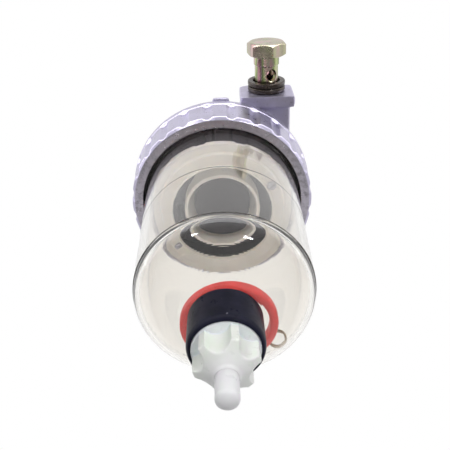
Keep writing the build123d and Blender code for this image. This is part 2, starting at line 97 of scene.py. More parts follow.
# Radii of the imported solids, in mm
THREAD_R = 46.0
RING_LAND_R = 49.1
RING_RIM_R = 49.5
RING_NOSE_R = 48.8
RING_FACE_R = 47.2
RING_BORE_R = 42.5
BOWL_TOP_R = 41.4
BOWL_BORE_R = 38.4
BOWL_FLANGE_R = 45.4
BOWL_SHOULDER_R = 39.6
DOME_R = 39.25
DOME_INNER_R = 36.6
DOME_HEIGHT = 21.0
DOME_INNER_HEIGHT = 18.2
NECK_R = 13.0
NECK_THREAD_R = 8.0
VALVE_R = 5.5
WASHER_R = 10.35
WASHER_BORE_R = 7.5
SHANK_R = 7.0
COLLAR_R = 15.6
SINK_R = 14.0
KNOB_R = 13.1
KNOB_VALLEY_R = 9.0
FLANGE_R = 13.7
FLOAT_R = 20.25
FLOAT_BORE_R = 16.65
WIRE_RING_R = 3.65
SCREW_CIRCLE_R = 29.5

# Where the bolts' heads start along Y, in mm
HEAD_REACH = 20.5
INLET_HEAD_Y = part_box("inlet_inner_washer")[1][1] / MM - HEAD_REACH
OUTLET_HEAD_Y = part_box("outlet_inner_washer")[0][1] / MM + HEAD_REACH

# Camera, from the photograph's ellipses: place in m, angles in degrees
CAMERA_PLACE = (0.00111, -0.16553, -0.392376)
CAMERA_ELEVATION = -61.821
CAMERA_ROLL = -1.89
FLOOR_Z = -0.62


def length(label, description, default):
    """A size in millimetres for the panel."""
    return FloatProperty(name=label, description=description, default=default, min=0.0, precision=3)


def power(label, description, default):
    """A lamp's power for the panel."""
    return FloatProperty(name=label, description=description, default=default, min=0.0, unit="POWER")


def tint(label, description, default):
    """A colour without alpha."""
    return FloatVectorProperty(
        name=label, description=description, default=default, size=3, min=0.0, max=1.0, subtype="COLOR"
    )


class SeparatorSizes(bpy.types.PropertyGroup):
    """Sizes of the shown pieces that the solids leave open, in mm."""

    flutes: IntProperty(name="Flutes", description="Grip flutes round the ring nut", default=24, min=6)
    flute_radius: length("Flute radius", "Radius of each grip flute", 4.0)
    flute_depth: length("Flute depth", "Depth of each grip flute in the ring's land", 1.3)
    cast_round: length("Cast rounding", "Rounding of the cast edges", 0.7)
    moulded_round: length("Moulded rounding", "Rounding of the moulded edges", 0.5)
    level_line_z: FloatProperty(
        name="Level line", description="Height of the printed level line on the bowl", default=-102.0
    )
    level_line_width: length("Line width", "Width of the printed level line", 0.45)
    bolt_pitch: length("Bolt pitch", "Pitch of the hollow bolts' thread", 1.5)
    cock_pitch: length("Cock pitch", "Pitch of the drain cock's thread", 1.5)
    ring_pitch: length("Ring pitch", "Pitch of the ring nut's thread", 3.0)
    wire_radius: length("Wire radius", "Radius of the small ring's wire", 0.5)


class SeparatorColours(bpy.types.PropertyGroup):
    """Colours of the finishes."""

    cast: tint("Casting", "Aluminium casting", (0.47, 0.445, 0.575))
    # cast_dark gives the stains, and scaled down it also gives the painted shade in the head's cavity, on
    # the threads and in the ring nut's bore
    cast_dark: tint("Casting, dark", "Stains and hollows of the casting", (0.36, 0.33, 0.40))
    machined: tint("Machined face", "Turned and milled faces of the castings", (0.60, 0.565, 0.64))
    clear: tint("Bowl", "Clear plastic of the bowl", (0.965, 0.947, 0.915))
    cream: tint("Cream nylon", "Tube and baffle plate", (0.84, 0.80, 0.745))
    white: tint("White nylon", "Drain cock", (0.86, 0.90, 0.82))
    nose: tint("Spigot", "Milky plastic at the end of the drain cock", (0.88, 0.88, 0.90))
    flange: tint("Flange", "Milky plastic of the drain cock's flange", (0.84, 0.89, 0.94))
    collar: tint("Collar", "Dark plastic of the drain collar", (0.008, 0.008, 0.018))
    red: tint("Float", "Red plastic of the float", (0.86, 0.045, 0.04))
    rubber: tint("Rubber", "Seals and gasket", (0.018, 0.018, 0.020))
    zinc: tint("Zinc", "Yellow passivated zinc plate", (0.40, 0.345, 0.28))
    zinc_green: tint("Zinc, green", "Green parts of the plating", (0.30, 0.36, 0.16))
    zinc_pink: tint("Zinc, pink", "Pink parts of the plating", (0.55, 0.30, 0.33))
    brass: tint("Wire", "Yellow plating of the small wire ring", (0.30, 0.215, 0.085))
    washer: tint("Washer", "Dark sealing washers", (0.045, 0.037, 0.032))
    steel: tint("Steel", "Bright steel screws", (0.52, 0.51, 0.56))


class SeparatorStage(bpy.types.PropertyGroup):
    """Floor, light and camera."""

    floor: tint("Floor", "Colour of the floor", (0.80, 0.80, 0.80))
    rim_power: power("Rim lamp", "Power of the rim lamp in front; the two at the sides take a share", 7.5)
    key_power: power("Key lamp", "Power of the small lamp at the left", 0.14)
    fill_power: power("Front lamp", "Power of the small lamp at the right", 0.31)
    world: FloatProperty(name="World", description="Strength of the even light", default=0.42, min=0.0)
    lens: FloatProperty(name="Lens", description="Focal length", default=54.84, min=1.0, unit="CAMERA")


def soften(points, rounding=0.0, steps=4):
    """Rounds the corners of a closed outline of (r, z) or (r, z, rounding) points."""
    most = 0.48
    result = []
    for i, point in enumerate(points):
        here = Vector(point[:2])
        size = point[2] if len(point) > 2 else rounding
        back = Vector(points[i - 1][:2]) - here
        ahead = Vector(points[(i + 1) % len(points)][:2]) - here
        if size <= 0:
            result.append(tuple(here))
            continue
        start = here + back.normalized() * min(size, most * back.length)
        end = here + ahead.normalized() * min(size, most * ahead.length)
        for k in range(steps + 1):
            t = k / steps
            result.append(tuple(start * (1 - t) ** 2 + here * 2 * t * (1 - t) + end * t * t))
    return result


def refined(points, step, guard=0.2):
    """Divides the long runs of a closed outline, with a short piece at both ends to hold the shading."""
    result = []
    for i, point in enumerate(points):
        here, after = Vector(point), Vector(points[(i + 1) % len(points)])
        run = (after - here).length
        result.append(tuple(here))
        if run > 4 * guard:
            result.append(tuple(here.lerp(after, guard / run)))
            count = max(1, int(run / step + 0.999))
            result.extend(tuple(here.lerp(after, k / count)) for k in range(1, count))
            result.append(tuple(here.lerp(after, 1 - guard / run)))
    return result


def arc(centre, radius_x, radius_z, start, end, steps):
    """Points along an elliptical arc, angles in degrees."""
    turns = [radians(start + (end - start) * k / steps) for k in range(steps + 1)]
    return [(centre[0] + radius_x * cos(t), centre[1] + radius_z * sin(t)) for t in turns]


def turned(outline, columns=144, shape=None):
    """A bmesh turned about Z from a closed (r, z) outline; shape(r, z, angle) may move each point."""
    on_axis, weld = 1e-6, 1e-7
    mesh = bmesh.new()
    rows = []
    for j in range(columns):
        angle = tau * j / columns
        row = []
        for r, z in outline:
            if shape:
                r, z = shape(r, z, angle)
            row.append(mesh.verts.new((r * cos(angle) * MM, r * sin(angle) * MM, z * MM)))
        rows.append(row)
    count = len(outline)
    for j in range(columns):
        here, after = rows[j], rows[(j + 1) % columns]
        for i in range(count):
            k = (i + 1) % count
            if outline[i][0] < on_axis and outline[k][0] < on_axis:
                continue
            mesh.faces.new((here[i], after[i], after[k], here[k]))
    bmesh.ops.remove_doubles(mesh, verts=mesh.verts, dist=weld)
    bmesh.ops.recalc_face_normals(mesh, faces=mesh.faces)
    return mesh


def wire(path, radius, sides=16):
    """A round bmesh wire along an open path of points in mm, with flat ends."""
    mesh = bmesh.new()
    turns = [tau * k / sides for k in range(sides)]
    rings = []
    for i, point in enumerate(path):
        along = (Vector(path[min(i + 1, len(path) - 1)]) - Vector(path[max(i - 1, 0)])).normalized()
        side = along.cross(Vector((0, 0, 1))).normalized()
        over = side.cross(along)
        ring = [Vector(point) + (side * cos(t) + over * sin(t)) * radius for t in turns]
        rings.append([mesh.verts.new(spot * MM) for spot in ring])
    for here, after in zip(rings, rings[1:]):
        for k in range(sides):
            n = (k + 1) % sides
            mesh.faces.new((here[k], here[n], after[n], after[k]))
    mesh.faces.new(rings[0])
    mesh.faces.new(reversed(rings[-1]))
    bmesh.ops.recalc_face_normals(mesh, faces=mesh.faces)
    return mesh


def joined(meshes):
    """One bmesh of several, which are freed."""
    whole = bmesh.new()
    for mesh in meshes:
        part = bpy.data.meshes.new("part")
        mesh.to_mesh(part)
        mesh.free()
        whole.from_mesh(part)
        bpy.data.meshes.remove(part)
    return whole


def thread_wave(z, angle, pitch):
    """Depth share of a rounded helical thread, 0 at the crest and 1 in the root."""
    phase = (z / pitch + angle / tau) % 1.0
    return 0.5 - 0.5 * cos(tau * phase)


def finish_mesh(name, mesh, material, place=None, sharp=35.0):
    """Turns a bmesh into an object with one material and smooth shading up to a sharp angle."""
    if place is not None:
        bmesh.ops.transform(mesh, matrix=place, verts=mesh.verts)
    data = bpy.data.meshes.new(name)
    mesh.to_mesh(data)
    mesh.free()
    data.shade_smooth()
    data.set_sharp_from_angle(angle=radians(sharp))
    obj = bpy.data.objects.new(name, data)
    obj.data.materials.append(material)
    bpy.context.scene.collection.objects.link(obj)
    return obj


def baked(obj, sharp=35.0):
    """Applies an object's modifiers to its mesh and shades it again."""
    evaluated = obj.evaluated_get(bpy.context.evaluated_depsgraph_get())
    data = bpy.data.meshes.new_from_object(evaluated)
    obj.modifiers.clear()
    obj.data = data
    data.shade_smooth()
    data.set_sharp_from_angle(angle=radians(sharp))
    return obj


def pierced(obj, cutters):
    """Cuts closed cutter pieces out of an object and deletes them."""
    for cutter in cutters:
        cut = obj.modifiers.new("cut", "BOOLEAN")
        cut.operation = "DIFFERENCE"
        cut.solver = "EXACT"
        cut.object = cutter
    baked(obj)
    for cutter in cutters:
        bpy.data.objects.remove(cutter)
    return obj


def settle(obj, body, slot, *nodes):
    """Rides a piece on its body and hides the solids it stands for; slot is not used."""
    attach(obj, body)
    if nodes:
        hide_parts(*nodes)


def piece(name, mesh, look, body, *nodes, slot=None, place=None, sharp=35.0):
    """A finished mesh on its body, in the finish of its look; the slot, or else the look, is passed on to
    settle.
    """
    settle(finish_mesh(name, mesh, finish(look), place, sharp), body, slot or look, *nodes)


def smooth_min(a, b, width):
    """The smaller of two values, blended over width."""
    gap = max(width - abs(a - b), 0.0) / width
    return min(a, b) - gap * gap * width / 4


def scooped(centre_r, radius, pitch_angle, first, angle, above=0.0):
    """Distance from the axis to a ring of scoops of one radius, at an angle and a height over their ends."""
    off = ((angle - first) / pitch_angle + 0.5) % 1.0 - 0.5
    across = centre_r * sin(off * pitch_angle)
    reach = radius ** 2 - across ** 2 - above ** 2
    depth = sqrt(reach) if reach > 0 else -sqrt(-reach)
    return centre_r * cos(off * pitch_angle) - depth


def facing(direction):
    """Turns a piece's Z axis to a direction."""
    return direction.to_track_quat("Z", "Y").to_matrix().to_4x4()


def port_place(port):
    """Moves a piece turned about +Z so that it stands on a port's pad, +Z pointing out."""
    side = 1 if port == "inlet" else -1
    low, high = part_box(port + "_inner_washer")
    spot = (Vector(low) + Vector(high)) / 2
    spot.y = high[1] if side == 1 else low[1]
    across = Vector((side, 0, 0))
    out = Vector((0, -side, 0))
    up = out.cross(across)
    return Matrix.Translation(spot) @ Matrix((across, up, out)).transposed().to_4x4()


class Nodes:
    """A node tree under construction. A value is a socket or a number, a colour a socket or a triple."""

    def __init__(self, tree):
        self.tree = tree

    def feed(self, socket, value):
        """Links a socket to an input, or sets the input to a number or a triple."""
        if isinstance(value, bpy.types.NodeSocket):
            self.tree.links.new(value, socket)
        else:
            socket.default_value = value

    def add(self, kind, feeds, **options):
        """The outputs of a new node with its options set and its inputs fed."""
        node = self.tree.nodes.new(kind)
        for key, value in options.items():
            setattr(node, key, value)
        for key, value in feeds.items():
            self.feed(node.inputs[key], value)
        return node.outputs

    def math(self, operation, first, second):
        """Two values worked into one."""
        return self.add("ShaderNodeMath", {0: first, 1: second}, operation=operation)[0]

    def white_to(self, rays, surface, kind, end):
        """Shows plain white of one kind to some rays and surface to the rest, at the tree's end."""
        path = self.add("ShaderNodeLightPath", {})
        seen = path[rays[0]]
        for ray in rays[1:]:
            seen = self.math("MAXIMUM", seen, path[ray])
        plain = self.add(kind, {"Color": (*WHITE, 1.0), "Strength": 1.0})[0]
        shown = self.add("ShaderNodeMixShader", {0: seen, 1: surface, 2: plain})[0]
        self.feed(self.tree.nodes[end].inputs["Surface"], shown)


class Finish(Nodes):
    """A surface under construction."""

    def __init__(self, name, colour, roughness, metallic=0.0):
        self.material = bpy.data.materials.new(name)
        self.material.use_nodes = True
        super().__init__(self.material.node_tree)
        self.shader = self.tree.nodes["Principled BSDF"]
        self.set("Base Color", (*colour, 1.0))
        self.set("Roughness", roughness)
        self.set("Metallic", metallic)
        self.place = self.add("ShaderNodeTexCoord", {})["Object"]
        self.height = None

    def set(self, socket, value):
        """Feeds one of the shader's own inputs."""
        self.feed(self.shader.inputs[socket], value)

    def times(self, first, second):
        """Product of two values."""
        return self.math("MULTIPLY", first, second)

    def noise(self, size_mm, detail=3.0, rough=0.5, stretch=(1, 1, 1)):
        """Noise whose grains measure about size_mm."""
        place = self.add("ShaderNodeMapping", {"Scale": stretch, "Vector": self.place})["Vector"]
        feeds = {"Scale": 1.0 / (size_mm * MM), "Detail": detail, "Roughness": rough, "Vector": place}
        return self.add("ShaderNodeTexNoise", feeds)["Fac"]

    def cells(self, size_mm):
        """Distance to the nearest of scattered points about size_mm apart."""
        feeds = {"Scale": 1.0 / (size_mm * MM), "Vector": self.place}
        return self.add("ShaderNodeTexVoronoi", feeds, feature="SMOOTH_F1")["Distance"]

    def along(self, axis):
        """The place along X, Y or Z."""
        return self.add("ShaderNodeSeparateXYZ", {"Vector": self.place})[axis]

    def spread(self, value, low, high, from_low=0.3, from_high=0.7):
        """Maps a value from its own range to low..high."""
        ends = {"From Min": from_low, "From Max": from_high, "To Min": low, "To Max": high}
        return self.add("ShaderNodeMapRange", {"Value": value, **ends})["Result"]

    def edges(self, low, high):
        """Share of edge, 0 on flats and 1 on convex edges; it marks edge wear, and the cream's painted edge
        light.
        """
        return self.spread(self.add("ShaderNodeNewGeometry", {})["Pointiness"], 0.0, 1.0, low, high)

    def dots(self, apart_mm, share, size):
        """Scattered round marks: share in their middle, 0 past their size."""
        return self.spread(self.cells(apart_mm), share, 0.0, 0.0, size)

    def band(self, low_mm, high_mm):
        """1 between two heights and 0 elsewhere."""
        up = self.along("Z")
        above = self.math("GREATER_THAN", up, low_mm * MM)
        return self.times(above, self.math("LESS_THAN", up, high_mm * MM))

    def inside(self, radius_mm, below_mm):
        """1 within a radius of the bowl's axis and below a height, 0 elsewhere."""
        fade, lowest = 0.5, -1000.0
        flat = self.add("ShaderNodeVectorMath", {0: self.place, 1: (1.0, 1.0, 0.0)}, operation="MULTIPLY")[0]
        reach = self.add("ShaderNodeVectorMath", {0: flat}, operation="LENGTH")["Value"]
        near = self.spread(reach, 1.0, 0.0, (radius_mm - fade) * MM, radius_mm * MM)
        return self.times(near, self.band(lowest, below_mm))

    def ramp(self, value, *stops):
        """Colours along a value: stops of (position, colour)."""
        ramp = self.tree.nodes.new("ShaderNodeValToRGB")
        elements = ramp.color_ramp.elements
        while len(elements) < len(stops):
            elements.new(0.5)
        for element, (position, colour) in zip(elements, stops):
            element.position = position
            element.color = (*colour, 1.0)
        self.feed(ramp.inputs["Fac"], value)
        return ramp.outputs["Color"]

    def mix(self, factor, *pair):
        """Mixes two colours."""
        first, second = (c if isinstance(c, bpy.types.NodeSocket) else (*c, 1.0) for c in pair)
        return self.add("ShaderNodeMix", {0: factor, 6: first, 7: second}, data_type="RGBA")[2]

    def mottled(self, size_mm, first, second, share=1.0, detail=3.0):
        """Two colours in soft patches of about size_mm, with share the most of the second."""
        return self.mix(self.spread(self.noise(size_mm, detail), 0.0, share), first, second)

    def colour(self, value):
        """Colours the surface."""
        self.set("Base Color", value)

    def roughen(self, size_mm, low, high, detail=3.0):
        """Varies the roughness in patches of about size_mm."""
        self.set("Roughness", self.spread(self.noise(size_mm, detail), low, high))

    def bump(self, value, depth_mm, strength=1.0):
        """Adds relief of about depth_mm over what is there already."""
        feeds = {"Strength": strength, "Distance": depth_mm * MM, "Height": value}
        if self.height is not None:
            feeds["Normal"] = self.height
        self.height = self.add("ShaderNodeBump", feeds)["Normal"]
        self.set("Normal", self.height)


FINISHES = {}


def finish(name):
    """The finish of one name, made the first time it is asked for."""
    if name not in FINISHES:
        make = next(maker for maker in MAKERS if maker.__name__ == name)
        FINISHES[name] = make(bpy.context.scene.separator_colours).material
    return FINISHES[name]


def scaled(colour, factor):
    """A colour made lighter or darker, held below white."""
    return tuple(min(1.0, c * factor) for c in colour)


def cast_aluminium(colours):
    """Die-cast aluminium: satin, faintly lilac, with grey stains, small marks, rubbed edges, and painted
    shade in its cavity and on the thread behind the ring nut.
    """
    mark_gap = 2.6
    made = Finish("cast_aluminium", colours.cast, 0.4, 0.9)
    stains = made.spread(made.noise(13.0, 5.0, 0.6), 0.0, 0.55, 0.46, 0.70)
    stained = made.mix(stains, colours.cast, colours.cast_dark)
    marked = made.mix(made.dots(mark_gap, 0.65, 0.22), stained, scaled(colours.cast_dark, 0.7))
    rubbed = made.mix(made.edges(0.52, 0.60), marked, scaled(colours.cast, 1.3))
    # Painted shade: the cavity is darker, and the thread behind the ring nut is nearly black, where shade
    # falls on them
    cavity = made.inside(THREAD_R - 5.0, SKIRT_END_Z + 30.0)
    cavity_shade = made.mix(cavity, rubbed, scaled(colours.cast_dark, 0.4))
    hidden = made.inside(THREAD_R + 1.0, RING_TOP_Z - 1.0)
    made.colour(made.mix(hidden, cavity_shade, scaled(colours.cast_dark, 0.08)))
    made.roughen(3.5, 0.32, 0.50, detail=4.0)
    made.bump(made.noise(0.8), 0.04, 0.5)
    made.bump(made.spread(made.cells(mark_gap), 0.0, 1.0, 0.0, 0.3), 0.08, 0.3)
    return made


def cast_ring(colours):
    """The same casting, with the ring nut's front face turned on a lathe and painted lighter on one side,
    and painted shade making its bore and threads nearly black.
    """
    mark_gap = 3.4
    made = Finish("cast_ring", colours.cast, 0.36, 0.9)
    stains = made.spread(made.noise(15.0, 4.0, 0.55), 0.0, 0.35, 0.46, 0.72)
    stained = made.mix(stains, scaled(colours.cast, 1.06), colours.cast_dark)
    marked = made.mix(made.dots(mark_gap, 0.5, 0.18), stained, scaled(colours.cast_dark, 0.7))
    rubbed = made.mix(made.edges(0.51, 0.58), marked, scaled(colours.cast, 1.4))
    # Painted light: the turned face is made brighter towards the drain's side and darker towards the other,
    # a lit side and a shaded side painted into its colour
    face_painted_light = made.spread(made.along("Y"), 0.0, 1.0, -0.045, 0.0)
    face = made.mix(face_painted_light, scaled(colours.machined, 0.68), scaled(colours.machined, 1.5))
    spots = made.spread(made.noise(2.2, 4.0, 0.6), 0.0, 0.8, 0.45, 0.75)
    face = made.mix(spots, face, scaled(colours.machined, 0.5))
    # Painted shade: the bore and the threads behind the lip are made nearly black, where shade falls
    black = scaled(colours.cast_dark, 0.03)
    front = made.band(RING_FACE_Z - 1.0, RING_FACE_Z + 0.12)
    bore = made.inside(RING_BORE_R + 0.6, RING_TOP_Z)
    within = made.inside(THREAD_R + 1.0, RING_TOP_Z)
    threads = made.times(within, made.band(LIP_TOP_Z - 0.5, RING_TOP_Z - 0.3))
    outside = made.mix(bore, made.mix(front, rubbed, face), black)
    made.colour(made.mix(threads, outside, black))
    made.roughen(3.0, 0.25, 0.38, detail=4.0)
    made.bump(made.noise(0.9), 0.03, 0.4)
    made.bump(made.spread(made.cells(mark_gap), 0.0, 1.0, 0.0, 0.25), 0.06, 0.25)
    return made


def clear_plastic(colours):
    """Clear moulded plastic with a breath of yellow and the finest scratches."""
    made = Finish("clear_plastic", colours.clear, 0.02)
    made.set("Transmission Weight", 0.98)
    made.set("Specular Tint", (0.65, 0.65, 0.68, 1.0))
    made.set("IOR", 1.5)
    made.roughen(4.0, 0.008, 0.035, detail=4.0)
    made.bump(made.noise(14.0, 2.0), 0.05, 0.35)
    return made


def cream_nylon(colours):
    """Cream moulded nylon, slightly see-through, with painted light on its edges: they are made lighter as
    if light showed through them.
    """
    made = Finish("cream_nylon", colours.cream, 0.42)
    made.set("Subsurface Weight", 0.2)
    made.set("Subsurface Radius", (0.004, 0.003, 0.002))
    made.set("Subsurface Scale", 0.4)
    toned = made.mottled(11.0, colours.cream, scaled(colours.cream, 1.12))
    # Painted light: convex edges are made lighter, standing in for light showing through the thin edges
    made.colour(made.mix(made.edges(0.52, 0.60), toned, scaled(colours.cream, 1.2)))
    made.roughen(2.5, 0.34, 0.5)
    made.bump(made.noise(0.6, 2.0), 0.03, 0.5)
    return made


def white_nylon(colours):
    """Milky nylon: a bluish flange, a faintly green knob and a neutral spigot."""
    made = Finish("white_nylon", colours.white, 0.3)
    made.set("IOR", 1.5)
    made.set("Subsurface Weight", 0.4)
    made.set("Subsurface Radius", (0.003, 0.0035, 0.003))
    made.set("Subsurface Scale", 0.5)
    up = made.along("Z")
    past_spigot = made.spread(up, 0.0, 1.0, (COLLAR_END_Z - 16.0) * MM, (COLLAR_END_Z - 9.0) * MM)
    past_knob = made.spread(up, 0.0, 1.0, (COLLAR_END_Z - 1.2) * MM, (COLLAR_END_Z - 0.1) * MM)
    body = made.mix(past_knob, made.mix(past_spigot, colours.nose, colours.white), colours.flange)
    made.colour(made.mottled(9.0, body, WHITE, share=0.5))
    made.roughen(3.5, 0.26, 0.38)
    made.bump(made.noise(3.0, 2.0), 0.03, 0.3)
    return made


def black_plastic(colours):
    """Near-black moulded plastic, satin, with pale dust specks and rubbed edges."""
    made = Finish("black_plastic", colours.collar, 0.4)
    made.set("Specular IOR Level", 0.05)
    lifted = tuple(c * 1.8 + 0.004 for c in colours.collar)
    toned = made.mottled(6.0, colours.collar, lifted)
    dusty = made.mix(made.dots(3.2, 0.7, 0.055), toned, (0.20, 0.20, 0.24))
    made.colour(made.mix(made.edges(0.52, 0.66), dusty, (0.05, 0.05, 0.075)))
    made.roughen(2.0, 0.26, 0.40, detail=4.0)
    made.bump(made.noise(1.6, 2.0), 0.02, 0.3)
    return made


def red_plastic(colours):
    """Red moulded plastic with a painted glow: it gives off a little red light of its own though it is no
    lamp.
    """
    made = Finish("red_plastic", colours.red, 0.4)
    # Painted light: a faint red emission makes the float glow
    made.set("Emission Color", (1.0, 0.05, 0.04, 1.0))
    made.set("Emission Strength", 0.08)
    toned = made.mottled(5.0, colours.red, scaled(colours.red, 0.82))
    made.colour(made.mix(made.edges(0.53, 0.64), toned, (0.9, 0.16, 0.14)))
    made.roughen(2.0, 0.32, 0.5)
    made.bump(made.noise(0.7, 2.0), 0.03, 0.4)
    return made


def black_rubber(colours):
    """Matt black rubber."""
    made = Finish("black_rubber", colours.rubber, 0.6)
    made.colour(made.mottled(4.0, colours.rubber, scaled(colours.rubber, 2.0)))
    made.roughen(1.5, 0.5, 0.75)
    made.bump(made.noise(0.4, 2.0), 0.02, 0.5)
    return made


def yellow_zinc(colours):
    """Yellow passivated zinc: green and pink streaks drift along the shank, less on the head; their light
    and dark banding is partly painted reflection, the bands a shiny shank reflects.
    """
    fade = 2.0
    made = Finish("yellow_zinc", colours.zinc, 0.26, 1.0)
    # The passivation's own pink and green, with light and dark streaks along the shank that are partly
    # painted reflection
    film_and_painted_bands = made.ramp(
        made.noise(5.5, 1.5, 0.4, (1.0, 0.16, 1.0)),
        (0.30, scaled(colours.zinc_pink, 1.3)),
        (0.37, scaled(colours.zinc_pink, 0.5)),
        (0.42, colours.zinc),
        (0.46, scaled(colours.zinc_green, 0.7)),
        (0.53, scaled(colours.zinc_green, 1.4)),
        (0.60, scaled(colours.zinc, 1.3)),
        (0.68, scaled(colours.zinc_pink, 1.2)),
    )
    place_y = made.along("Y")
    inlet_head = made.spread(place_y, 1.0, 0.0, INLET_HEAD_Y * MM, (INLET_HEAD_Y + fade) * MM)
    outlet_head = made.spread(place_y, 0.0, 1.0, (OUTLET_HEAD_Y - fade) * MM, OUTLET_HEAD_Y * MM)
    thin = made.mottled(6.0, scaled(colours.zinc, 1.1), film_and_painted_bands, share=0.6, detail=2.0)
    film_and_painted_bands = made.mix(made.math("MAXIMUM", inlet_head, outlet_head), film_and_painted_bands, thin)
    made.colour(made.mix(made.edges(0.60, 0.72), film_and_painted_bands, (0.70, 0.64, 0.58)))
    made.roughen(2.5, 0.18, 0.32)
    made.bump(made.noise(1.5, 2.0), 0.02, 0.3)
    return made


def yellow_wire(colours):
    """The small ring's yellow plating, greyer in patches."""
    made = Finish("yellow_wire", colours.brass, 0.3, 1.0)
    made.colour(made.mottled(1.6, colours.brass, colours.zinc))
    made.roughen(0.8, 0.22, 0.42)
    made.bump(made.noise(0.3, 2.0), 0.01, 0.4)
    return made


def washer_metal(colours):
    """Dark sealing washers with a greasy shine and scraped streaks round them."""
    made = Finish("washer_metal", colours.washer, 0.35, 0.7)
    brown = (colours.washer[0] * 1.5, colours.washer[1] * 1.35, colours.washer[2] * 1.2)
    toned = made.mottled(3.5, colours.washer, brown, detail=4.0)
    scraped = made.spread(made.noise(1.1, 3.0, 0.6, (0.12, 1.0, 0.12)), 0.0, 0.5, 0.5, 0.75)
    made.colour(made.mix(scraped, toned, (0.30, 0.28, 0.30)))
    made.roughen(2.0, 0.25, 0.4)
    made.bump(made.noise(0.9, 2.0, 0.5, (0.2, 1.0, 0.2)), 0.02, 0.4)
    return made


def bright_steel(colours):
    """Bright turned steel."""
    made = Finish("bright_steel", colours.steel, 0.3, 1.0)
    made.colour(made.mottled(3.0, colours.steel, scaled(colours.steel, 0.7)))
    made.roughen(1.0, 0.22, 0.42)
    made.bump(made.noise(0.4, 2.0), 0.01, 0.4)
    return made


MAKERS = (
    cast_aluminium,
    cast_ring,
    clear_plastic,
    cream_nylon,
    white_nylon,
    black_plastic,
    red_plastic,
    black_rubber,
    yellow_zinc,
    yellow_wire,
    washer_metal,
    bright_steel,
)


def dress(node, name):
    """Gives a solid that is shown as it is its finish."""
    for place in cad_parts[node].material_slots:
        place.material = finish(name)


class SEPARATOR_OT_ring_nut(bpy.types.Operator):
    """Build the fluted ring nut"""

    bl_idname = "separator.ring_nut"
    bl_label = "Ring nut"

    def execute(self, context):
        sizes = context.scene.separator_sizes
        rim_foot = RING_TOP_Z - 4.5
        land_top = rim_foot - 0.7
        nose_z = RING_FACE_Z + 1.7
        thread_depth, run_in, run_out = 0.45, 0.5, 1.0
        inner_r = THREAD_R + 0.4
        flute_r, blend = sizes.flute_radius, 0.45
        centre_r = RING_LAND_R + flute_r - sizes.flute_depth
        flute_top = rim_foot - 0.1 - flute_r / 2
        pitch = tau / sizes.flutes

        def shape(r, z, angle):
            if r < inner_r:
                on_thread = abs(r - THREAD_R) < 0.05 and LIP_TOP_Z + run_in < z < RING_TOP_Z - run_out
                depth = thread_depth * thread_wave(z, angle, sizes.ring_pitch) if on_thread else 0.0
                return r + depth, z
            hollow = scooped(centre_r, flute_r, pitch, pitch / 2, angle, max(0.0, z - flute_top))
            return smooth_min(r, hollow, blend), z

        section = [
            (RING_BORE_R + 0.5, RING_FACE_Z, 0.5),
            (RING_FACE_R, RING_FACE_Z, 0.35),
            (RING_NOSE_R, nose_z, 0.5),
            (RING_LAND_R, land_top, 0.3),
            (RING_RIM_R, rim_foot, 0.4),
            (RING_RIM_R, RING_TOP_Z, sizes.cast_round),
            (THREAD_R + 0.6, RING_TOP_Z, 0.2),
            (THREAD_R, RING_TOP_Z - 0.6, 0.1),
            (THREAD_R, LIP_TOP_Z, 0.2),
            (RING_BORE_R, LIP_TOP_Z, 0.3),
            (RING_BORE_R, RING_FACE_Z + 0.6, 0.3),
        ]
        mesh = turned(refined(soften(section), step=0.7), sizes.flutes * 20, shape)
        piece("ring_nut_casting", mesh, "cast_ring", "ring", "ring_nut", slot="cast_aluminium")
        return {"FINISHED"}


class SEPARATOR_OT_head(bpy.types.Operator):
    """Build the head casting with its cast edges rounded"""

    bl_idname = "separator.head"
    bl_label = "Head casting"

    def execute(self, context):
        sizes = context.scene.separator_sizes
        grain, passes_a_mm = 1.0, 4
        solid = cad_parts["head_casting"]
        mesh = bmesh.new()
        mesh.from_mesh(solid.data)
        bmesh.ops.transform(mesh, matrix=solid.matrix_world, verts=mesh.verts)
        bmesh.ops.remove_doubles(mesh, verts=mesh.verts, dist=1e-6)
        head = finish_mesh("head_body", mesh, finish("cast_aluminium"))
        voxels = head.modifiers.new("voxels", "REMESH")
        voxels.mode = "VOXEL"
        voxels.voxel_size = grain * MM
        smooth = head.modifiers.new("smooth", "SMOOTH")
        smooth.factor = 0.5
        smooth.iterations = int(passes_a_mm * sizes.cast_round)
        baked(head)
        settle(head, "head", "cast_aluminium", "head_casting")
        return {"FINISHED"}


